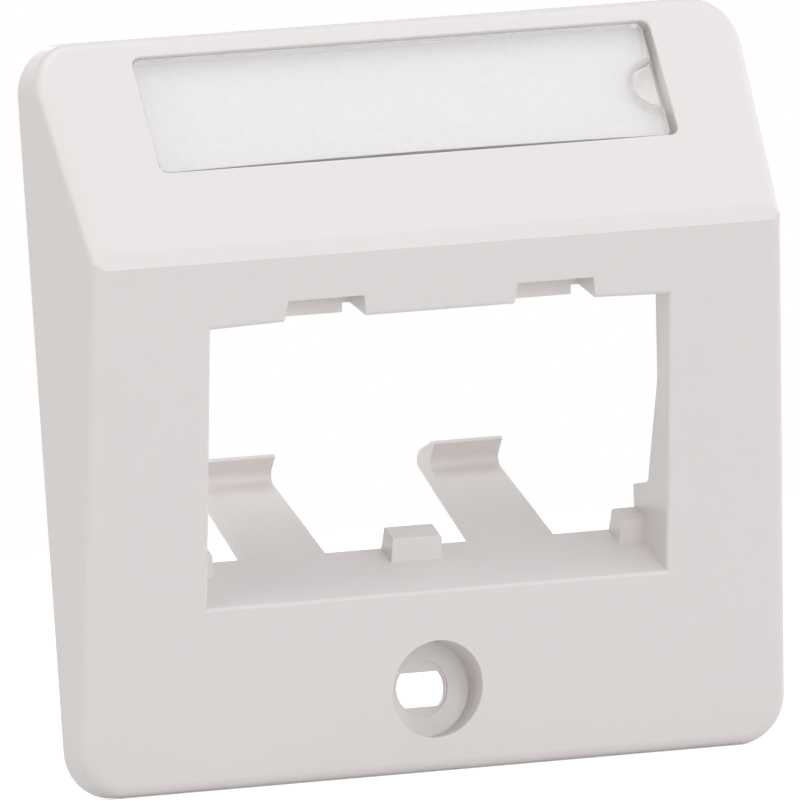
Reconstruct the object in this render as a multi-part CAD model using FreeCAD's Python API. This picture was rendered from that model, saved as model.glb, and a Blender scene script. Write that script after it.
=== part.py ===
import FreeCAD, Part
import math
import os
from FreeCAD import Placement, Rotation, Vector

# Keystone faceplate: a one-piece moulded wedge for two angled outlets, with a
# label card and a clear label window in its upper slope.
# Frame: X right, Y into the wall, Z up. The origin is the centre of the back
# plane, so the wall is at Y = 0 and the front of the plate is at negative Y.
# All lengths are millimetres, all angles degrees.

# Body
width = 50.0
height = 48.75
bottom_depth = 2.17         # front to wall at the lower edge
top_depth = 1.59            # front to wall at the upper edge
ridge_depth = 9.17          # front to wall where the two slopes meet
ridge_height = 34.6         # of that line above the lower edge
ridge_flat_down = 0.49      # the flat along the ridge starts this far down the front
ridge_flat_up = 0.64        # and ends this far up the label slope
side_draft = 6.0            # left and right walls
end_draft = 0.5             # top and bottom walls
corner_radius = 3.2
edge_radius = 0.9           # soft edge all round the front
front_wall = 1.8
label_wall = 2.3
side_wall = 1.6
end_wall = 1.6
mouth_radius = 0.3          # rounded edge of the opening
recess_radius = 0.15        # rounded edge of the label recess

# Opening for the two outlets
bay_pitch = 16.05
bay_count = 2
bay_edge = 0.1              # the opening is wider than the bays by this much
opening_bottom = 11.77      # its front edge above the lower edge of the plate
opening_top = 29.88
opening_lean = 0.1          # the sides lean in by this much towards the top
opening_droop = 0.16        # the upper side drops by this much between a notch and the corner
outlet_angle = 30.0         # the outlets look down by this angle
lintel_angle = 21.5         # upward slope of the opening's upper side
lintel_depth = 3.2          # from the front face to the back of the upper side
lintel_top = 33.0           # of the thicker band above the opening
cheek_wall = 1.3            # side walls of the tray
jamb_depth_top = 2.2        # from the front face to the back of the opening's sides, at the top
jamb_depth_low = 1.85       # and where a cheek starts
cheek_top = 24.3            # where a cheek grows out of the front wall
cheek_shoulder = 17.6       # above this the cheek is cut back
cheek_shoulder_drop = 0.15
cheek_cutback = 2.42        # from the wall plane, at the shoulder
cheek_radius = 0.5
cheek_back = 0.05           # back of the cheek's shoulder behind the wall plane

# Sill and the stops on it
sill_length = 5.7
sill_thickness = 1.25
stop_height = 1.45
stop_length = 1.85          # along the outlet direction, at the sill
stop_width = 3.6
stop_front_slope = 0.48     # the front leans back by this much
stop_back_slope = 0.2       # and so does the back
stop_side_slope = 0.09
stop_edge = 0.12

# Latch arms
arm_reach = 15.3            # from the front edge of the sill to the hook
arm_width = 5.25            # where it leaves the sill
arm_end_width = 4.65
arm_thickness = 1.32        # where it leaves the sill
arm_end_thickness = 0.95
arm_offset = -0.32          # the arms stand a little to one side of the bays
hook_height = 1.95
hook_tip = 0.32
hook_lean = 0.42            # the hook's face leans towards the front
hook_length = 2.12          # from the hook's root to the end of the arm
hook_brow = 0.25            # the sloped back turns down this far before the end
hook_brow_height = 0.1
hook_brow_radius = 1.0
hook_root_radius = 0.7
hook_end_radius = 0.5
hook_tip_radius = 0.1

# Latch notches in the upper side of the opening
notch_width = 5.3
notch_flare = 0.25          # wider by this on each side at its mouth
notch_height = 1.42
notch_depth = 2.7
tongue_width = 4.4
tongue_bottom = 30.25       # above the lower edge of the plate

# Fixing screw
screw_height = 5.38         # axis above the lower edge
screw_mouth_radius = 3.17
screw_seat_edge = 0.7       # outer edge of the seat to the wall plane
screw_seat_ring = 0.4       # inner edge of the seat to the wall plane
screw_ring_radius = 1.86
screw_skin = 0.3            # left under the ring
screw_slot_radius = 1.7
screw_slot_height = 2.27    # across its flats
screw_slot_drop = 0.09      # its middle below the seat's axis
boss_wall = 0.7

# Label recess, label card and window
label_length = 36.3
label_height = 8.45
label_shift = 0.27          # the recess is a little to one side
label_offset = 10.48        # its centre above the ridge, on the slope
label_corner = 0.6
label_recess = 1.3
window_inset = 0.12         # the window's face is below the plate's face
window_gap = 0.12           # round the window
window_end_gap = 0.55       # at the end with the thumb notch
window_low_gap = 0.25       # along the lower edge
window_corner = 0.5
thumb_radius = 2.0
thumb_out = 0.4             # its centre is this far outside the window's end
thumb_shift = -0.3          # and below the middle
thumb_bevel = 0.27
card_thickness = 0.2
card_margin = 0.06          # the card is smaller than the window by this much all round

# Worked-out values
bottom = -height / 2
top = height / 2
ridge_z = bottom + ridge_height
front_slope = (ridge_depth - bottom_depth) / ridge_height
label_slope = (ridge_depth - top_depth) / (height - ridge_height)
front_angle = math.atan(front_slope)
label_angle = math.atan(label_slope)
half_opening = bay_count * bay_pitch / 2 + bay_edge / 2
tray_half = half_opening + cheek_wall
bays = [(i - (bay_count - 1) / 2) * bay_pitch for i in range(bay_count)]
screw_z = bottom + screw_height
card_floor = -label_recess
window_floor = card_floor + card_thickness
lintel_slope = math.tan(math.radians(lintel_angle))
beyond = 3.0                # how far cutting tools run past the surface they cut
overlap = 0.4               # how far added pieces reach into the walls they join


def front_y(z, inset=0.0):
    """Y at height z of the front face, or of a surface that lies inset mm behind it."""
    return inset / math.cos(front_angle) - bottom_depth - (z - bottom) * front_slope


def label_y(z, inset=0.0):
    """The same for the label face."""
    return inset / math.cos(label_angle) - top_depth - (top - z) * label_slope


def tray_point(along, up):
    """(y, z) of a point this far along the outlet direction and above the sill."""
    turn = math.radians(outlet_angle)
    low = bottom + opening_bottom
    return (front_y(low) + along * math.cos(turn) - up * math.sin(turn),
            low + along * math.sin(turn) + up * math.cos(turn))


def corner_arc(before, corner, after, radius):
    """Start, middle and end of the arc that rounds a corner of an outline."""
    to_before = (before - corner).normalize()
    to_after = (after - corner).normalize()
    half = to_before.getAngle(to_after) / 2
    inward = (to_before + to_after).normalize()
    centre = corner + inward * (radius / math.sin(half))
    reach = radius / math.tan(half)
    return corner + to_before * reach, centre - inward * radius, corner + to_after * reach


def outline(corners):
    """Closed wire through (point, radius) corners."""
    edges = []
    count = len(corners)
    ends = []
    for i, (point, radius) in enumerate(corners):
        before = corners[i - 1][0]
        after = corners[(i + 1) % count][0]
        if radius:
            start, middle, end = corner_arc(before, point, after, radius)
            ends.append((start, end, Part.Arc(start, middle, end).toShape()))
        else:
            ends.append((point, point, None))
    for i, (start, end, arc) in enumerate(ends):
        if arc:
            edges.append(arc)
        edges.append(Part.makeLine(end, ends[(i + 1) % count][0]))
    return Part.Wire(edges)


def prism(corners, x0, x1):
    """Solid from x0 to x1 with a side outline of (y, z) or (y, z, radius) corners."""
    side = outline([(Vector(x0, c[0], c[1]), c[2] if len(c) > 2 else 0) for c in corners])
    return Part.Face(side).extrude(Vector(x1 - x0, 0, 0))


def plate(corners, z0, z1):
    """Solid from z0 to z1 with a plan outline of (x, y) or (x, y, radius) corners."""
    plan = outline([(Vector(c[0], c[1], z0), c[2] if len(c) > 2 else 0) for c in corners])
    return Part.Face(plan).extrude(Vector(0, 0, z1 - z0))


def rectangle(x0, x1, y0, y1, radius=0):
    return [(x0, y0, radius), (x1, y0, radius), (x1, y1, radius), (x0, y1, radius)]


def tray_placed(shape):
    """Put a shape drawn with x across, y along the outlets and z off the sill in place."""
    z = bottom + opening_bottom
    shape.Placement = Placement(Vector(0, front_y(z), z), Rotation(Vector(1, 0, 0), outlet_angle))
    return shape


def label_placed(shape):
    """Put a shape drawn with x across, y up the slope and z off the label face in place."""
    centre = Vector(label_shift, -ridge_depth + label_offset * math.sin(label_angle),
                    ridge_z + label_offset * math.cos(label_angle))
    turn = Rotation(Vector(1, 0, 0), 90 - math.degrees(label_angle))
    shape.Placement = Placement(centre, turn)
    return shape


def drafted_block(inset_x, inset_z, y0, y1):
    """Rounded block between y0 and y1 that narrows to the front like the plate does."""
    sections = []
    for y in (y0, y1):
        a = width / 2 - inset_x + y * math.tan(math.radians(side_draft))
        b = height / 2 - inset_z + y * math.tan(math.radians(end_draft))
        r = corner_radius - inset_x
        sections.append(outline([(Vector(x, y, z), r) for x, z in ((a, b), (-a, b), (-a, -b), (a, -b))]))
    return Part.makeLoft(sections, True, True)


def outer_body():
    wedge = prism([(0, bottom), (-bottom_depth, bottom), (-ridge_depth, ridge_z),
                   (-top_depth, top), (0, top)], -width, width)
    body = wedge.common(drafted_block(0, 0, 0, -ridge_depth - 1)).Solids[0]
    return soften(body, edge_radius, on_front_rim).cut(ridge_trim())


def ridge_trim():
    """Material in front of the flat along the ridge."""
    ridge = Vector(0, -ridge_depth, ridge_z)
    down = ridge + Vector(0, math.sin(front_angle), -math.cos(front_angle)) * ridge_flat_down
    up = ridge + Vector(0, math.sin(label_angle), math.cos(label_angle)) * ridge_flat_up
    along = (up - down).normalize() * beyond
    out = Vector(0, -beyond, 0)
    corners = [down - along, up + along, up + along + out, down - along + out]
    return prism([(c.y, c.z) for c in corners], -width, width)


def cavity():
    """Hollow of the shell, open at the wall plane."""
    low = bottom + end_wall
    high = top - end_wall
    apart = front_y(low, front_wall) - label_y(low, label_wall)
    inner_ridge = low + apart / (front_slope + label_slope)
    side = prism([(beyond, low), (front_y(low, front_wall), low),
                  (front_y(inner_ridge, front_wall), inner_ridge),
                  (label_y(high, label_wall), high), (beyond, high)], -width, width)
    return side.common(drafted_block(side_wall, end_wall, beyond, -ridge_depth))


def lintel():
    """Thicker band above the opening."""
    low = bottom + opening_top
    high = bottom + lintel_top
    joint = front_wall - overlap
    return prism([(front_y(low) + joint, low + joint * lintel_slope), (front_y(high, joint), high),
                  (front_y(high) + lintel_depth, high),
                  (front_y(low) + lintel_depth, low + lintel_depth * lintel_slope)],
                 -tray_half, tray_half)


def cheek(side):
    """Side wall of the tray. Above its shoulder it is cut back to the opening's jamb."""
    low = bottom + opening_bottom
    shoulder = bottom + cheek_shoulder
    start = bottom + cheek_top
    end = bottom + opening_top + overlap
    joint = front_wall - overlap
    inner = side * (half_opening - overlap)
    return prism([(front_y(low, joint), low - sill_thickness), tray_point(sill_length, -sill_thickness),
                  tray_point(sill_length, 0), (cheek_back, shoulder - cheek_shoulder_drop),
                  (-cheek_cutback, shoulder, cheek_radius), (front_y(start) + jamb_depth_low, start),
                  (front_y(end) + jamb_depth_top, end), (front_y(end, joint), end)],
                 inner, side * tray_half)


def sill():
    return tray_placed(prism([(overlap, overlap), (overlap, -sill_thickness),
                              (sill_length, -sill_thickness), (sill_length, overlap)],
                             -tray_half, tray_half))


def stop(x):
    """Tapered block on the sill that keeps an outlet in line."""
    half = stop_width / 2
    spread = stop_side_slope / stop_height
    front = sill_length - stop_length
    sunk = half + overlap * spread
    tip = half - stop_side_slope
    ends = outline([(Vector(x - sunk, 0, -overlap), 0), (Vector(x - tip, 0, stop_height), stop_edge),
                    (Vector(x + tip, 0, stop_height), stop_edge), (Vector(x + sunk, 0, -overlap), 0)])
    block = Part.Face(ends).extrude(Vector(0, width, 0))
    side = prism([(front, -overlap), (front, 0), (front + stop_front_slope, stop_height, stop_edge),
                  (sill_length + stop_back_slope, stop_height), (sill_length, 0), (sill_length, -overlap)],
                 -half_opening - overlap, half_opening + overlap)
    return tray_placed(block.common(side))


def latch_arm(x):
    """Flexible arm that carries on from the sill and ends in a hook."""
    start = sill_length - overlap
    end = arm_reach + hook_length
    tip = arm_reach - hook_lean
    side = prism([(start, 0), (arm_reach, 0, hook_root_radius), (tip, hook_height, hook_tip_radius),
                  (tip + hook_tip, hook_height, hook_tip_radius),
                  (end - hook_brow, hook_brow_height, hook_brow_radius),
                  (end, -arm_end_thickness, hook_end_radius), (start, -arm_thickness)],
                 x - arm_width, x + arm_width)
    wide = arm_width / 2
    narrow = arm_end_width / 2
    plan = plate([(x - wide, start - 1), (x + wide, start - 1), (x + wide, sill_length),
                  (x + narrow, end + 1), (x - narrow, end + 1), (x - wide, sill_length)],
                 -hook_height - 1, hook_height + 1)
    return tray_placed(side.common(plan))


def opening_cut():
    """The way in for both outlets, with a sloped lower and upper side."""
    low = bottom + opening_bottom
    high = bottom + opening_top
    front = front_y(high)
    fall = math.tan(math.radians(outlet_angle))
    way = prism([(front_y(low) - beyond, low - beyond * fall),
                 (beyond, low + (beyond - front_y(low)) * fall),
                 (beyond, high + (beyond - front) * lintel_slope),
                 (front - beyond, high - beyond * lintel_slope)],
                -half_opening, half_opening)
    return way.cut(opening_corner(1)).cut(opening_corner(-1))


def opening_corner(side):
    """What stays of the opening's side, which leans in, and of its drooping upper corner."""
    low = bottom + opening_bottom
    high = bottom + opening_top
    notch = side * (bays[-1] + notch_width / 2)
    outer = side * (half_opening + beyond)
    front = front_y(high) - beyond
    depth = beyond - front
    lean = side * opening_lean * beyond / (high - low)
    foot = Vector(side * half_opening + lean, front, low - beyond)
    head = Vector(side * (half_opening - opening_lean) - lean, front, high + beyond)
    jamb = [foot, head, Vector(outer, front, head.z), Vector(outer, front, foot.z), foot]
    start = Vector(notch, front, high - beyond * lintel_slope)
    droop = opening_droop * (outer - notch) / (side * half_opening - notch)
    end = Vector(outer, front, start.z - droop)
    band = [start, end, Vector(outer, front, start.z + 1), start]
    return (Part.Face(Part.makePolygon(jamb)).extrude(Vector(0, depth, 0))
            .fuse(Part.Face(Part.makePolygon(band)).extrude(Vector(0, depth, depth * lintel_slope))))


def notch_cut(x):
    """Recess for an outlet's latch, closed at the back by a tongue."""
    low = bottom + opening_top
    high = low + notch_height
    wide = notch_width / 2
    flare = notch_flare / notch_height
    under = wide + flare * (notch_height + beyond)
    corners = [Vector(x - wide, 0, high), Vector(x + wide, 0, high),
               Vector(x + under, 0, low - beyond), Vector(x - under, 0, low - beyond)]
    face = Part.Face(Part.makePolygon(corners + corners[:1]))
    block = face.extrude(Vector(0, -width, 0))
    zone = prism([(front_y(low - beyond, -beyond), low - beyond),
                  (front_y(high + 1, -beyond), high + 1),
                  (front_y(high + 1) + notch_depth, high + 1),
                  (front_y(low - beyond) + notch_depth, low - beyond)], -width, width)
    return block.common(zone)


def tongue(x):
    """Lip behind a latch notch."""
    low = bottom + tongue_bottom
    high = low + notch_height
    return prism([(front_y(low) + notch_depth, low), (front_y(high) + notch_depth, high),
                  (front_y(high) + lintel_depth, high), (front_y(low) + lintel_depth, low)],
                 x - tongue_width / 2, x + tongue_width / 2)


def y_cylinder(radius, y0, y1):
    return Part.makeCylinder(radius, y1 - y0, Vector(0, y0, screw_z), Vector(0, 1, 0))


def screw_boss():
    return y_cylinder(screw_mouth_radius + boss_wall, front_y(screw_z, front_wall - overlap), 0)


def screw_cut():
    """Deep seat for the screw head with a flat-sided hole through its floor."""
    head = y_cylinder(screw_mouth_radius, front_y(screw_z) - beyond, -screw_seat_edge)
    seat = Part.makeCone(screw_mouth_radius, screw_ring_radius, screw_seat_edge - screw_seat_ring,
                         Vector(0, -screw_seat_edge, screw_z), Vector(0, 1, 0))
    ring = y_cylinder(screw_ring_radius, -screw_seat_ring, -screw_skin)
    hole = y_cylinder(screw_slot_radius, -screw_skin, beyond)
    flats = Part.makeBox(width, width, screw_slot_height,
                         Vector(-width / 2, -width / 2, screw_z - screw_slot_drop - screw_slot_height / 2))
    return head.fuse(seat).fuse(ring).fuse(hole.common(flats))


def label_cut():
    half = label_length / 2
    rise = label_height / 2
    return label_placed(plate(rectangle(-half, half, -rise, rise, label_corner), card_floor, beyond))


def label_window():
    """Clear window with a round thumb notch at one end."""
    left = -label_length / 2 + window_gap
    right = label_length / 2 - window_end_gap
    low = -label_height / 2 + window_low_gap
    high = label_height / 2 - window_gap
    face = -window_inset
    sheet = plate(rectangle(left, right, low, high, window_corner), window_floor, face)
    centre = right + thumb_out
    thumb = Part.makeCylinder(thumb_radius, label_recess, Vector(centre, thumb_shift, window_floor))
    bevel = Part.makeCone(thumb_radius, thumb_radius + thumb_bevel, thumb_bevel,
                          Vector(centre, thumb_shift, face - thumb_bevel))
    return label_placed(sheet.cut(thumb).cut(bevel))


def label_card():
    left = -label_length / 2 + window_gap + card_margin
    right = label_length / 2 - window_end_gap - card_margin
    low = -label_height / 2 + window_low_gap + card_margin
    high = label_height / 2 - window_gap - card_margin
    return label_placed(plate(rectangle(left, right, low, high, window_corner), card_floor, window_floor))


def soften(body, radius, chosen):
    """Round the edges whose middle point passes the test."""
    edges = [e for e in body.Edges if chosen(e.valueAt((e.FirstParameter + e.LastParameter) / 2))]
    return body.makeFillet(radius, edges)


def on_front_rim(point):
    """On the outer edge of the front or label face, and not on the ridge."""
    on_front = abs(point.y - front_y(point.z)) < 1e-4 and point.z < ridge_z - 1e-3
    on_label = abs(point.y - label_y(point.z)) < 1e-4 and point.z > ridge_z + 1e-3
    return on_front or on_label


def on_opening_edge(point):
    inside = abs(point.x) <= half_opening + 1e-4
    level = bottom + opening_bottom - 1e-4 <= point.z <= bottom + opening_top + 1e-4
    return inside and level and abs(point.y - front_y(point.z)) < 1e-4


def on_recess_edge(point):
    up = (point.z - ridge_z) / math.cos(label_angle) - label_offset
    inside = abs(point.x - label_shift) <= label_length / 2 + 1e-4 and abs(up) <= label_height / 2 + 1e-4
    return inside and abs(point.y - label_y(point.z)) < 1e-4


def faceplate():
    body = outer_body().cut(cavity())
    for piece in (lintel(), cheek(1), cheek(-1), sill(), screw_boss()):
        body = body.fuse(piece)
    body = soften(body.cut(opening_cut()), mouth_radius, on_opening_edge)
    for x in [bays[0] - bay_pitch / 2] + [bay + bay_pitch / 2 for bay in bays]:
        body = body.fuse(stop(x))
    for x in bays:
        body = body.cut(notch_cut(x)).fuse(tongue(x)).fuse(latch_arm(x + arm_offset))
    body = soften(body.cut(label_cut()), recess_radius, on_recess_edge)
    return body.cut(screw_cut()).removeSplitter()


def main():
    os.makedirs("parts", exist_ok=True)
    nodes = {"faceplate": faceplate(), "label_card": label_card(), "label_cover": label_window()}
    for name, shape in nodes.items():
        shape.exportStep("parts/" + name + ".step")
        print(name, shape.isValid(), shape.Volume, len(shape.Solids), shape.optimalBoundingBox(False))


if __name__ == "__main__":
    main()
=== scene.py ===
"""Looks of a moulded keystone faceplate with a paper label behind a clear window.

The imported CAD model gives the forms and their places. This script gives the plate its
satin plastic, fits the paper label and the clear window in the label recess, and then
sets the floor, the lamps and the camera.
"""

import math

import bmesh
import bpy
from mathutils import Matrix, Vector


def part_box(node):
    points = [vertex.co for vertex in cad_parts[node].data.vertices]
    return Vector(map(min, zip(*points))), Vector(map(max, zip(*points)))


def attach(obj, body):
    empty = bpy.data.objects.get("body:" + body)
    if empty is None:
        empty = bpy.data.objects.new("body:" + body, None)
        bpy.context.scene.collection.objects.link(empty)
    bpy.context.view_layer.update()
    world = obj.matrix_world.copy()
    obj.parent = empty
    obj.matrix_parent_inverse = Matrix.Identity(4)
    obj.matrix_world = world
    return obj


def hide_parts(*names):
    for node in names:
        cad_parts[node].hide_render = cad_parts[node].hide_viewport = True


bl_info = {
    "name": "Keystone faceplate",
    "version": (1, 0, 0),
    "blender": (4, 5, 0),
    "location": "View3D > Sidebar > Faceplate",
    "description": "Finishes for a two-way keystone faceplate with a label window",
    "category": "Object",
}

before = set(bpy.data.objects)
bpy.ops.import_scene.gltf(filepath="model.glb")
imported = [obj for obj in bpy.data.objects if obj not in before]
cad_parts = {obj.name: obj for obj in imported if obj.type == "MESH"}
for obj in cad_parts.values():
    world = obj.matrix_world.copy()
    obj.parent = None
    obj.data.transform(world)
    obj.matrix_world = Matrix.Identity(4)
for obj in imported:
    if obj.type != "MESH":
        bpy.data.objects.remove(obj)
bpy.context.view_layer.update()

MM = 0.001
FLOOR_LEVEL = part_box("faceplate")[0].z - 0.02 * MM

PLASTIC_IOR = 1.49
WHITE = (1, 1, 1, 1)
BLACK = (0, 0, 0)

SAME_POINT = 0.0005 * MM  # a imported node's points are one where they are closer than this
SAME_FACE = math.radians(0.5)  # its faces are one flat face where they turn by less than this
CREASE = math.radians(32)  # a smooth piece still has a sharp edge where it turns by more than this
TOUCH = 0.01 * MM  # how far off a face a point may be and still belong to it
RIM_BAND = 0.1 * MM  # the same for the window's ends and its upper edge
FOOT_BAND = 0.3 * MM  # the same for the window's lower edge with its rounded corners
CARD_BAND = 1 * MM  # the same for the card's sides
ON_CUT = 0.0001 * MM  # how far off a cut a point may be and still lie on it
SLIVER = 0.001 * MM  # an edge shorter than this is closed up
SCUFF = 1.4 * MM  # distance across one faint scuff on the window
STRIPS = 16  # upright strips of the window, which let its lower edge bow
FACING = 0.99  # a face whose normal agrees with a direction by this much lies across it
SIDEWAYS = 0.9  # and one by less than this is an edge or a rounded rim
ACROSS = Vector((1, 0, 0))


def shade(red, green, blue):
    """A colour written as 0 to 255 on screen, as the linear colour that the shaders take."""
    levels = (channel / 255 for channel in (red, green, blue))
    return tuple(
        level / 12.92 if level <= 0.04045 else ((level + 0.055) / 1.055) ** 2.4
        for level in levels
    )


# ---------------------------------------------------------------- settings


class PlasticSettings(bpy.types.PropertyGroup):
    """The moulded plate's plastic."""

    colour: bpy.props.FloatVectorProperty(
        name="Plastic colour",
        description="Colour of the moulded plate",
        subtype="COLOR",
        size=3,
        min=0,
        max=1,
        default=shade(223, 218, 215),
    )
    flow_colour: bpy.props.FloatVectorProperty(
        name="Flow colour",
        description="Colour of the faint clouds where the plastic cooled last",
        subtype="COLOR",
        size=3,
        min=0,
        max=1,
        default=shade(221, 216, 213),
    )
    cloud: bpy.props.FloatProperty(
        name="Cloud size",
        description="Distance across one faint cloud",
        subtype="DISTANCE",
        unit="LENGTH",
        min=1 * MM,
        default=14 * MM,
    )
    grain: bpy.props.FloatProperty(
        name="Mould grain",
        description="Distance across one grain of the mould's fine texture",
        subtype="DISTANCE",
        unit="LENGTH",
        min=0.02 * MM,
        default=0.16 * MM,
    )
    grain_depth: bpy.props.FloatProperty(
        name="Grain depth",
        description="Height of the mould's fine texture",
        subtype="DISTANCE",
        unit="LENGTH",
        min=0,
        default=0.0005 * MM,
    )
    gloss: bpy.props.FloatProperty(
        name="Roughness",
        description="Mean roughness of the satin surface",
        subtype="FACTOR",
        min=0,
        max=1,
        default=0.33,
    )


class LabelSettings(bpy.types.PropertyGroup):
    """The paper label and its clear window."""

    paper: bpy.props.FloatVectorProperty(
        name="Paper colour",
        description="Colour of the blank label",
        subtype="COLOR",
        size=3,
        min=0,
        max=1,
        default=shade(236, 234, 229),
    )
    fibre: bpy.props.FloatProperty(
        name="Fibre",
        description="Distance across one fleck of the paper's fibres",
        subtype="DISTANCE",
        unit="LENGTH",
        min=0.02 * MM,
        default=0.35 * MM,
    )
    fibre_depth: bpy.props.FloatProperty(
        name="Fibre depth",
        description="Height of the paper's fibres",
        subtype="DISTANCE",
        unit="LENGTH",
        min=0,
        default=0.004 * MM,
    )
    window: bpy.props.FloatVectorProperty(
        name="Window colour",
        description="Faint tint of the clear window",
        subtype="COLOR",
        size=3,
        min=0,
        max=1,
        default=shade(254, 254, 255),
    )
    passing: bpy.props.FloatVectorProperty(
        name="Light let through",
        description="Share of the lamps' light that one face of the window lets through",
        subtype="COLOR",
        size=3,
        min=0,
        max=1,
        default=(0.94, 0.94, 0.95),
    )
    rim: bpy.props.FloatProperty(
        name="Window rim",
        description="Radius of the window's softened rim",
        subtype="DISTANCE",
        unit="LENGTH",
        min=0,
        default=0.06 * MM,
    )
    notch_height: bpy.props.FloatProperty(
        name="Notch height",
        description="How tall the thumb notch is, as a share of the solid window's notch",
        subtype="FACTOR",
        min=0.5,
        max=1,
        default=0.83,
    )
    notch_reach: bpy.props.FloatProperty(
        name="Notch reach",
        description="How far from the notch's middle the window still belongs to the notch",
        subtype="DISTANCE",
        unit="LENGTH",
        min=0,
        default=2.35 * MM,
    )
    notch_rim: bpy.props.FloatProperty(
        name="Notch rim",
        description="Radius of the softened rim round the thumb notch",
        subtype="DISTANCE",
        unit="LENGTH",
        min=0,
        default=0.1 * MM,
    )
    # The edge colour is partly the real frosted cut edge and partly painted shade: a grey that
    # darkens the line along the window's lower edge and the crescent round the thumb notch.
    edge: bpy.props.FloatVectorProperty(
        name="Window edge colour",
        description="Tone of the window's frosted edges",
        subtype="COLOR",
        size=3,
        min=0,
        max=1,
        default=shade(213, 209, 208),
    )
    card_reach: bpy.props.FloatProperty(
        name="Card reach",
        description="How far the card runs on under the thumb notch, past the solid card",
        subtype="DISTANCE",
        unit="LENGTH",
        min=0,
        default=0.33 * MM,
    )
    card_rise: bpy.props.FloatProperty(
        name="Card rise",
        description="How far the card goes up the slope, past the solid card",
        subtype="DISTANCE",
        unit="LENGTH",
        min=0,
        default=0.14 * MM,
    )
    bow: bpy.props.FloatProperty(
        name="Window bow",
        description="How much lower the window's lower edge is at its ends than in its middle",
        subtype="DISTANCE",
        unit="LENGTH",
        min=0,
        default=0.17 * MM,
    )
    low_ease: bpy.props.FloatProperty(
        name="Low ease",
        description="How far the window's lower edge is below the solid window's",
        subtype="DISTANCE",
        unit="LENGTH",
        min=0,
        default=0.06 * MM,
    )
    left_ease: bpy.props.FloatProperty(
        name="Left ease",
        description="How far the window is pushed towards the left end of its recess",
        subtype="DISTANCE",
        unit="LENGTH",
        min=0,
        default=0.11 * MM,
    )
    air_gap: bpy.props.FloatProperty(
        name="Air gap",
        description="How far the window's underside is lifted off the card",
        subtype="DISTANCE",
        unit="LENGTH",
        min=0,
        default=0.04 * MM,
    )


class StageSettings(bpy.types.PropertyGroup):
    """Floor, light and camera."""

    floor: bpy.props.FloatVectorProperty(
        name="Floor colour",
        description="Colour of the plain floor",
        subtype="COLOR",
        size=3,
        min=0,
        max=1,
        default=(0.8, 0.8, 0.8),
    )
    floor_glow: bpy.props.FloatVectorProperty(
        name="Floor glow",
        description="Light that the floor adds where it is seen, so that it looks white",
        subtype="COLOR",
        size=3,
        min=0,
        max=1,
        default=(0.55, 0.55, 0.55),
    )
    floor_size: bpy.props.FloatProperty(
        name="Floor size",
        description="Length of the floor's sides",
        subtype="DISTANCE",
        unit="LENGTH",
        min=0,
        default=0.9,
    )
    daylight: bpy.props.FloatProperty(
        name="Daylight",
        description="Strength of the even light from all round",
        min=0,
        default=0.06,
    )
    lamp_level: bpy.props.FloatProperty(
        name="Lamp level",
        description="Scales all the lamps together",
        min=0,
        default=1.0,
    )
    azimuth: bpy.props.FloatProperty(
        name="Camera azimuth",
        description="Angle of the camera to the left of the plate's front",
        subtype="ANGLE",
        unit="ROTATION",
        default=math.radians(22.242),
    )
    elevation: bpy.props.FloatProperty(
        name="Camera elevation",
        description="Angle of the camera above the plate",
        subtype="ANGLE",
        unit="ROTATION",
        default=math.radians(1.593),
    )
    roll: bpy.props.FloatProperty(
        name="Camera roll",
        description="Turn of the camera about its own line of sight",
        subtype="ANGLE",
        unit="ROTATION",
        default=math.radians(-3.959),
    )
    distance: bpy.props.FloatProperty(
        name="Camera distance",
        description="From the camera to the point that it looks at",
        subtype="DISTANCE",
        unit="LENGTH",
        default=1.49007,
    )
    aim: bpy.props.FloatVectorProperty(
        name="Camera aim",
        description="Point in the middle of the view",
        subtype="XYZ",
        unit="LENGTH",
        size=3,
        default=(0.0657 * MM, -0.035 * MM, -0.2467 * MM),
    )
    lens: bpy.props.FloatProperty(
        name="Lens",
        description="Focal length for a sensor 36 mm wide",
        subtype="DISTANCE_CAMERA",
        min=1,
        default=1034.0,
    )


# ---------------------------------------------------------------- shader maths


class Value:
    """An output socket. Arithmetic on it adds Math nodes to its own tree."""

    def __init__(self, finish, socket):
        self.finish = finish
        self.socket = socket

    def math(self, operation, first, second):
        return self.finish.node("ShaderNodeMath", {"operation": operation}, {0: first, 1: second})

    def __add__(self, other):
        return self.math("ADD", self, other)

    def __radd__(self, other):
        return self.math("ADD", other, self)

    def __mul__(self, other):
        return self.math("MULTIPLY", self, other)

    def __rmul__(self, other):
        return self.math("MULTIPLY", other, self)


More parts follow.
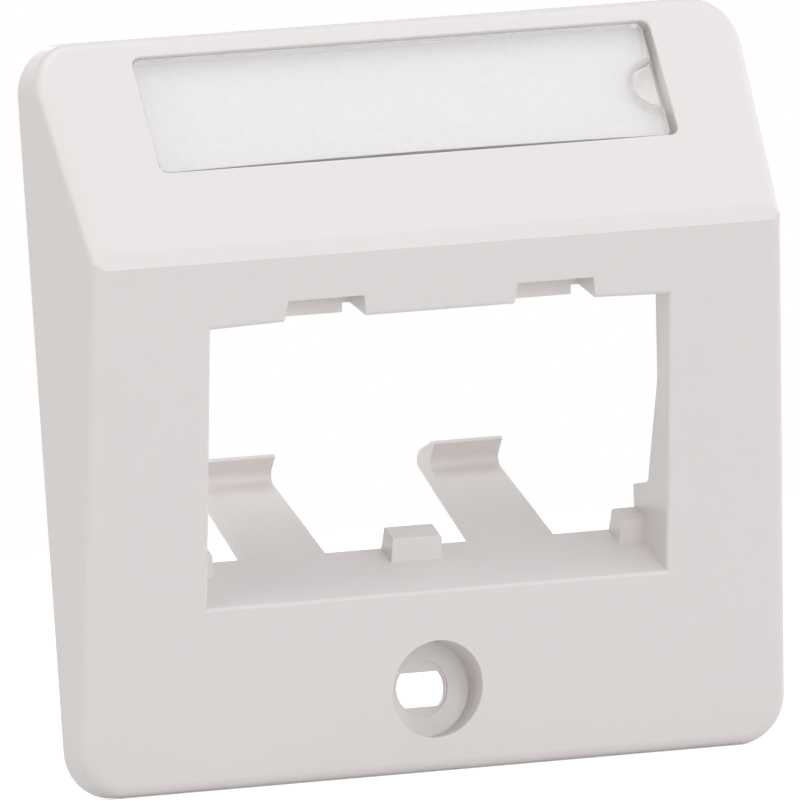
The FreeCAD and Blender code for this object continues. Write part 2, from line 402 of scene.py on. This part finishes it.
class Finish:
    """A material's or a world's node tree, built one node at a time."""

    def __init__(self, owner):
        self.owner = owner
        owner.use_nodes = True
        self.tree = owner.node_tree
        self.tree.nodes.clear()

    def node(self, kind, settings=None, inputs=None, output=0):
        """Adds a node: its settings first, then the values or links of its sockets."""
        made = self.tree.nodes.new(kind)
        for name, value in (settings or {}).items():
            if name == "stops":
                self.set_stops(made.color_ramp, value)
            else:
                setattr(made, name, value)
        for name, value in (inputs or {}).items():
            if isinstance(value, Value):
                self.tree.links.new(value.socket, made.inputs[name])
            else:
                made.inputs[name].default_value = value
        return Value(self, made.outputs[output]) if len(made.outputs) else None

    @staticmethod
    def set_stops(ramp, stops):
        """Gives a colour ramp its stops, each a position and a grey level."""
        while len(ramp.elements) < len(stops):
            ramp.elements.new(0.5)
        for element, (position, grey) in zip(ramp.elements, stops):
            element.position = position
            element.color = (grey, grey, grey, 1)

    def place(self):
        """Where a point is on the piece, in metres."""
        return self.node("ShaderNodeTexCoord", output="Object")

    def noise(self, across, detail, rough):
        """A soft random value from 0 to 1, whose lumps are so far across."""
        return self.node(
            "ShaderNodeTexNoise",
            {"noise_dimensions": "3D"},
            {
                "Vector": self.place(),
                "Scale": 1 / across,
                "Detail": detail,
                "Roughness": rough,
            },
        )

    def ramp(self, value, stops):
        """A value passed through grey stops."""
        return self.node("ShaderNodeValToRGB", {"stops": stops}, {"Fac": value})

    def blend(self, factor, first, second):
        """One colour passing into another."""
        inputs = {"Factor": factor, "A": (*first, 1), "B": (*second, 1)}
        return self.node("ShaderNodeMix", {"data_type": "RGBA"}, inputs, "Result")

    def bump(self, height, depth):
        """A normal bent by a height from 0 to 1 that stands for so much depth."""
        inputs = {"Height": height, "Distance": depth, "Strength": 1.0}
        return self.node("ShaderNodeBump", {}, inputs)

    def seen(self):
        """1 where the camera, a gloss or a clear piece looks, and 0 for all other light."""
        rays = ("Is Camera Ray", "Is Glossy Ray", "Is Transmission Ray")
        camera, gloss, clear = (self.node("ShaderNodeLightPath", output=ray) for ray in rays)
        return camera + gloss + clear

    def mix(self, factor, first, second):
        """One shader passing into another."""
        return self.node("ShaderNodeMixShader", {}, {0: factor, 1: first, 2: second})

    def show(self, shader, output="ShaderNodeOutputMaterial"):
        """Ends the tree with its output."""
        self.node(output, {}, {"Surface": shader})
        return self.owner

    def surface(self, inputs):
        """The Principled shader and the output."""
        return self.show(self.node("ShaderNodeBsdfPrincipled", {}, inputs))


def dress(node, material):
    """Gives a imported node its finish, on its object and not on its mesh."""
    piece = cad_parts[node]
    if not piece.material_slots:
        piece.data.materials.append(material)
    for slot in piece.material_slots:
        slot.link = "OBJECT"
        slot.material = material


# ---------------------------------------------------------------- finishes


def satin_plastic(settings):
    """White moulded plastic: faint flow clouds, satin gloss and the mould's fine grain."""
    finish = Finish(bpy.data.materials.new("satin_white_plastic"))
    clouds = finish.noise(settings.cloud, detail=3.0, rough=0.55)
    grain = finish.noise(settings.grain, detail=2.0, rough=0.6)
    swirl = finish.noise(settings.cloud / 4, detail=2.0, rough=0.5)
    smoothest = settings.gloss - 0.04
    return finish.surface(
        {
            "Base Color": finish.blend(clouds, settings.colour, settings.flow_colour),
            "Roughness": smoothest + 0.06 * swirl + 0.03 * grain,
            "IOR": PLASTIC_IOR,
            "Normal": finish.bump(grain, settings.grain_depth),
        }
    )


def label_paper(settings):
    """Uncoated white paper with short fibres."""
    finish = Finish(bpy.data.materials.new("label_paper"))
    flecks = finish.noise(settings.fibre, detail=4.0, rough=0.65)
    lit_fibres = finish.ramp(flecks, [(0.35, 0.0), (0.65, 1.0)])
    between_fibres = [0.95 * channel for channel in settings.paper]
    return finish.surface(
        {
            "Base Color": finish.blend(lit_fibres, between_fibres, settings.paper),
            "Roughness": 0.82 + 0.1 * flecks,
            "Specular IOR Level": 0.3,
            "Normal": finish.bump(flecks, settings.fibre_depth),
        }
    )


def window_plastic(name, colour, roughness, clearness):
    """The finish and the shader of moulded plastic with faint scuffs, more or less clear."""
    finish = Finish(bpy.data.materials.new(name))
    scuffs = finish.noise(SCUFF, detail=3.0, rough=0.6)
    plastic = finish.node(
        "ShaderNodeBsdfPrincipled",
        {},
        {
            "Base Color": (*colour, 1),
            "Roughness": roughness + 0.05 * scuffs,
            "IOR": PLASTIC_IOR,
            "Transmission Weight": clearness,
        },
    )
    return finish, plastic


def clear_window_plastic(settings):
    """The window's clear faces. They let the lamps' light through to the card."""
    finish, plastic = window_plastic(
        "clear_window_plastic", settings.window, roughness=0.02, clearness=1.0
    )
    passing = finish.node("ShaderNodeBsdfTransparent", {}, {"Color": (*settings.passing, 1)})
    shadow = finish.node("ShaderNodeLightPath", output="Is Shadow Ray")
    bounce = finish.node("ShaderNodeLightPath", output="Is Diffuse Ray")
    return finish.show(finish.mix(shadow + bounce, plastic, passing))


def frosted_edge_painted_shade(settings):
    """The window's cut edges, frosted and greyed as painted shade for the dark lines along them.
    They keep the light out, so the recess is dark beside them.
    """
    finish, plastic = window_plastic(
        "frosted_edge_painted_shade", settings.edge, roughness=0.3, clearness=0.35
    )
    return finish.show(plastic)


# ---------------------------------------------------------------- label window


def merged(node):
    """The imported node's form as one closed shape with whole flat faces."""
    shape = bmesh.new()
    shape.from_mesh(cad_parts[node].data)
    bmesh.ops.remove_doubles(shape, verts=shape.verts, dist=SAME_POINT)
    bmesh.ops.dissolve_limit(shape, angle_limit=SAME_FACE, verts=shape.verts, edges=shape.edges)
    return shape


def placed(shape, name):
    """Ends a shape: makes it an object in the scene."""
    mesh = bpy.data.meshes.new(name)
    shape.to_mesh(mesh)
    shape.free()
    piece = bpy.data.objects.new(name, mesh)
    bpy.context.scene.collection.objects.link(piece)
    return piece


def sheet_directions(shape):
    """The way that a sheet behind the label slope faces, and the way up the slope."""
    face = max(shape.faces, key=lambda f: f.calc_area() if f.normal.y < 0 else 0)
    out = face.normal.copy()
    slope = out.cross(ACROSS)
    return out, slope if slope.z > 0 else -slope


def near(point, centre, slope, reach):
    """Whether a point is no further from a place than so much, along the label slope's plane."""
    return math.hypot(point.x - centre[0], point.dot(slope) - centre[1]) < reach


def lift_underside(shape, out, gap):
    """Moves the sheet's underside off what lies below it."""
    low = min(v.co.dot(out) for v in shape.verts)
    under = [v for v in shape.verts if v.co.dot(out) < low + TOUCH]
    bmesh.ops.translate(shape, vec=out * gap, verts=under)


def cut_strips(shape, middle, half):
    """Cuts the window into upright strips of one width."""
    for step in range(1, STRIPS):
        place = Vector((middle + half * (2 * step / STRIPS - 1), 0, 0))
        everything = shape.verts[:] + shape.edges[:] + shape.faces[:]
        bmesh.ops.bisect_plane(
            shape, geom=everything, dist=ON_CUT, plane_co=place, plane_no=ACROSS
        )


def narrow_notch(shape, slope, end, settings):
    """Makes the thumb notch a little less tall. Its middle is where the window's end is open."""
    heights = sorted(v.co.dot(slope) for v in shape.verts if v.co.x > end - TOUCH)
    gap, low = max((b - a, a) for a, b in zip(heights, heights[1:]))
    centre = (end, low + gap / 2)
    for v in shape.verts:
        if near(v.co, centre, slope, settings.notch_reach):
            v.co += slope * (v.co.dot(slope) - centre[1]) * (settings.notch_height - 1)
    return centre


def ease_in_recess(shape, slope, middle, half, settings):
    """Lowers and bows the window's lower edge, and pushes its left end towards the recess's."""
    foot = min(v.co.dot(slope) for v in shape.verts)
    for v in shape.verts:
        if v.co.dot(slope) < foot + FOOT_BAND:
            v.co -= slope * (settings.bow * ((v.co.x - middle) / half) ** 2 + settings.low_ease)
        if v.co.x < middle - half + RIM_BAND:
            v.co.x -= settings.left_ease


def soften_rims(shape, out, slope, left, notch, settings):
    """Rounds the front edges of the window, but not of its left end, and more round its notch."""
    high = max(v.co.dot(out) for v in shape.verts) - TOUCH
    edges = [
        e
        for e in shape.edges
        if all(v.co.dot(out) > high for v in e.verts)
        and any(v.co.x > left + RIM_BAND for v in e.verts)
        and any(abs(f.normal.dot(out)) < FACING for f in e.link_faces)
    ]
    reach = settings.notch_reach
    curved = [e for e in edges if all(near(v.co, notch, slope, reach) for v in e.verts)]
    straight = [e for e in edges if e not in curved]
    for rim, radius in ((straight, settings.rim), (curved, settings.notch_rim)):
        bmesh.ops.bevel(
            shape,
            geom=[e for e in rim if e.is_valid],
            offset=radius,
            offset_type="OFFSET",
            affect="EDGES",
            segments=3,
            profile=0.5,
            material=-1,
            clamp_overlap=True,
        )
    bmesh.ops.dissolve_degenerate(shape, dist=SLIVER, edges=shape.edges)


def part_finishes(shape, out, slope, left, height):
    """Smooths the window; its cut edges, except above and at the left, get the frosted finish with
    painted shade.
    """
    shape.normal_update()
    for f in shape.faces:
        f.smooth = True
        centre = f.calc_center_median()
        polished = centre.dot(slope) > height - RIM_BAND or centre.x < left + RIM_BAND
        # slot 1 is the frosted edge finish, whose grey tone is partly painted shade
        f.material_index = int(abs(f.normal.dot(out)) < SIDEWAYS and not polished)
    for e in shape.edges:
        e.smooth = len(e.link_faces) == 2 and e.calc_face_angle() < CREASE


def mould_window(settings):
    """The clear window over the card, eased in its recess and with softened rims."""
    shape = merged("label_cover")
    out, slope = sheet_directions(shape)
    lift_underside(shape, out, settings.air_gap)
    left = min(v.co.x for v in shape.verts)
    right = max(v.co.x for v in shape.verts)
    middle = (left + right) / 2
    half = right - middle
    cut_strips(shape, middle, half)
    notch = narrow_notch(shape, slope, right, settings)
    ease_in_recess(shape, slope, middle, half, settings)
    height = max(v.co.dot(slope) for v in shape.verts)
    shape.normal_update()
    soften_rims(shape, out, slope, left, notch, settings)
    part_finishes(shape, out, slope, left, height)
    return placed(shape, "label_window")


def cut_card(settings):
    """The label card, which runs on a little under the thumb notch and up the slope."""
    shape = merged("label_card")
    slope = sheet_directions(shape)[1]
    end = max(v.co.x for v in shape.verts)
    height = max(v.co.dot(slope) for v in shape.verts)
    for v in shape.verts:
        if v.co.x > end - CARD_BAND:
            v.co.x += settings.card_reach
        if v.co.dot(slope) > height - CARD_BAND:
            v.co += slope * settings.card_rise
    return placed(shape, "label_paper")


class FACEPLATE_OT_moulding(bpy.types.Operator):
    """Finish the moulded plate, with its tray, latch arms and screw seat, in satin plastic"""

    bl_idname = "faceplate.moulding"
    bl_label = "Moulded plate"

    def execute(self, context):
        dress("faceplate", satin_plastic(context.scene.faceplate_plastic))
        return {"FINISHED"}


class FACEPLATE_OT_label_card(bpy.types.Operator):
    """Finish the label card in white paper"""

    bl_idname = "faceplate.label_card"
    bl_label = "Label card"

    def execute(self, context):
        settings = context.scene.faceplate_label
        card = cut_card(settings)
        card.data.materials.append(label_paper(settings))
        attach(card, "root")
        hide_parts("label_card")
        return {"FINISHED"}


class FACEPLATE_OT_label_window(bpy.types.Operator):
    """Make the clear window over the label, with its thumb notch"""

    bl_idname = "faceplate.label_window"
    bl_label = "Label window"

    def execute(self, context):
        settings = context.scene.faceplate_label
        window = mould_window(settings)
        window.data.materials.append(clear_window_plastic(settings))
        # second slot: the frosted edge finish, with painted shade in its grey tone
        window.data.materials.append(frosted_edge_painted_shade(settings))
        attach(window, "root")
        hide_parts("label_cover")
        return {"FINISHED"}


# ---------------------------------------------------------------- stage

# name, azimuth to the right of the front and elevation (degrees), distance and size (m),
# power (W), colour
LAMPS = (
    ("lamp_front", 0, 8, 0.9, 0.5, 2.82, (1, 1, 1)),
    ("lamp_front_right", 45, 15, 0.9, 0.5, 1.2, (1, 1, 1)),
    ("lamp_left", -85, 20, 0.9, 0.5, 2.2, (1, 1, 1)),
    ("lamp_above_left", -60, 50, 0.9, 0.6, 1.95, (1, 1, 1)),
    ("lamp_right", 85, 20, 0.9, 0.5, 1.6, (1, 1, 1)),
    ("lamp_above", 0, 88, 0.9, 0.5, 2.1, (0.99, 0.99, 1)),
    ("lamp_above_right", 42, 50, 0.9, 1.1, 2.52, (0.855, 0.875, 1)),
    ("lamp_back", 180, 8, 0.9, 0.5, 2.45, (1, 1, 1)),
    ("lamp_back_left", -135, 10, 0.9, 0.5, 0.2, (1, 1, 1)),
    ("lamp_back_right", 135, 10, 0.9, 0.5, 0.9, (1, 1, 1)),
)


def direction(azimuth, elevation):
    """Unit vector from the plate towards a place, by its angles from the front in radians."""
    flat = math.cos(elevation)
    return Vector((math.sin(azimuth) * flat, -math.cos(azimuth) * flat, math.sin(elevation)))


def lay_floor(settings):
    """A wide plain floor just under the plate, seen as white but for the plate's shadow."""
    shape = bmesh.new()
    bmesh.ops.create_grid(shape, x_segments=8, y_segments=8, size=settings.floor_size / 2)
    bmesh.ops.translate(shape, vec=Vector((0, 0, FLOOR_LEVEL)), verts=shape.verts)
    floor = placed(shape, "floor")
    finish = Finish(bpy.data.materials.new("floor_paper"))
    finish.surface(
        {
            "Base Color": (*settings.floor, 1),
            "Roughness": 1.0,
            "Specular IOR Level": 0.0,
            "Emission Color": finish.blend(finish.seen(), BLACK, settings.floor_glow),
            "Emission Strength": 1.0,
        }
    )
    floor.data.materials.append(finish.owner)


def light_world(settings):
    """Even light from all round, seen as plain white."""
    world = bpy.data.worlds.new("studio")
    bpy.context.scene.world = world
    finish = Finish(world)
    light, white = (
        finish.node("ShaderNodeBackground", {}, {"Color": WHITE, "Strength": strength})
        for strength in (settings.daylight, 1.0)
    )
    finish.show(finish.mix(finish.seen(), light, white), "ShaderNodeOutputWorld")


def hang_lamps(settings):
    """Soft square lamps that all look at the plate."""
    for name, azimuth, elevation, distance, size, power, colour in LAMPS:
        lamp = bpy.data.lights.new(name, "AREA")
        lamp.shape = "SQUARE"
        lamp.size = size
        lamp.energy = power * settings.lamp_level
        lamp.color = colour
        towards = direction(math.radians(azimuth), math.radians(elevation))
        turn = towards.to_track_quat("Z", "Y").to_matrix().to_4x4()
        holder = bpy.data.objects.new(name, lamp)
        holder.matrix_world = Matrix.Translation(towards * distance) @ turn
        holder.visible_camera = False
        bpy.context.scene.collection.objects.link(holder)


def set_camera(settings):
    """A long lens to the left of the plate, turned a little about its line of sight."""
    back = direction(-settings.azimuth, settings.elevation)
    level = Vector((0, 0, 1)).cross(back).normalized()
    upright = back.cross(level)
    right = math.cos(settings.roll) * level + math.sin(settings.roll) * upright
    up = back.cross(right)
    turn = Matrix((right, up, back)).transposed().to_4x4()
    camera = bpy.data.cameras.new("camera")
    camera.sensor_width = 36
    camera.lens = settings.lens
    camera.clip_start = 0.01
    camera.clip_end = 100
    holder = bpy.data.objects.new("camera", camera)
    place = Vector(settings.aim) + back * settings.distance
    holder.matrix_world = Matrix.Translation(place) @ turn
    bpy.context.scene.collection.objects.link(holder)
    bpy.context.scene.camera = holder


class FACEPLATE_OT_stage(bpy.types.Operator):
    """Lay the floor, hang the lamps and place the camera"""

    bl_idname = "faceplate.stage"
    bl_label = "Stage"

    def execute(self, context):
        settings = context.scene.faceplate_stage
        lay_floor(settings)
        light_world(settings)
        hang_lamps(settings)
        set_camera(settings)
        context.scene.view_settings.view_transform = "Standard"
        return {"FINISHED"}


class FACEPLATE_PT_panel(bpy.types.Panel):
    """The faceplate's operators and settings in the sidebar"""

    bl_idname = "FACEPLATE_PT_panel"
    bl_label = "Keystone faceplate"
    bl_space_type = "VIEW_3D"
    bl_region_type = "UI"
    bl_category = "Faceplate"

    def draw(self, context):
        for operator, name in STEPS:
            box = self.layout.box()
            box.operator(operator.bl_idname)
            settings = getattr(context.scene, name)
            for key in settings.__annotations__:
                box.prop(settings, key)


STEPS = (
    (FACEPLATE_OT_moulding, "faceplate_plastic"),
    (FACEPLATE_OT_label_card, "faceplate_label"),
    (FACEPLATE_OT_label_window, "faceplate_label"),
    (FACEPLATE_OT_stage, "faceplate_stage"),
)
SETTINGS = (
    ("faceplate_plastic", PlasticSettings),
    ("faceplate_label", LabelSettings),
    ("faceplate_stage", StageSettings),
)


def register():
    for name, group in SETTINGS:
        bpy.utils.register_class(group)
        setattr(bpy.types.Scene, name, bpy.props.PointerProperty(type=group))
    for operator, _ in STEPS:
        bpy.utils.register_class(operator)
    bpy.utils.register_class(FACEPLATE_PT_panel)


def unregister():
    bpy.utils.unregister_class(FACEPLATE_PT_panel)
    for operator, _ in reversed(STEPS):
        bpy.utils.unregister_class(operator)
    for name, group in reversed(SETTINGS):
        delattr(bpy.types.Scene, name)
        bpy.utils.unregister_class(group)


def main():
    register()
    bpy.ops.faceplate.moulding()
    bpy.ops.faceplate.label_card()
    bpy.ops.faceplate.label_window()
    bpy.ops.faceplate.stage()


if __name__ == "__main__":
    main()
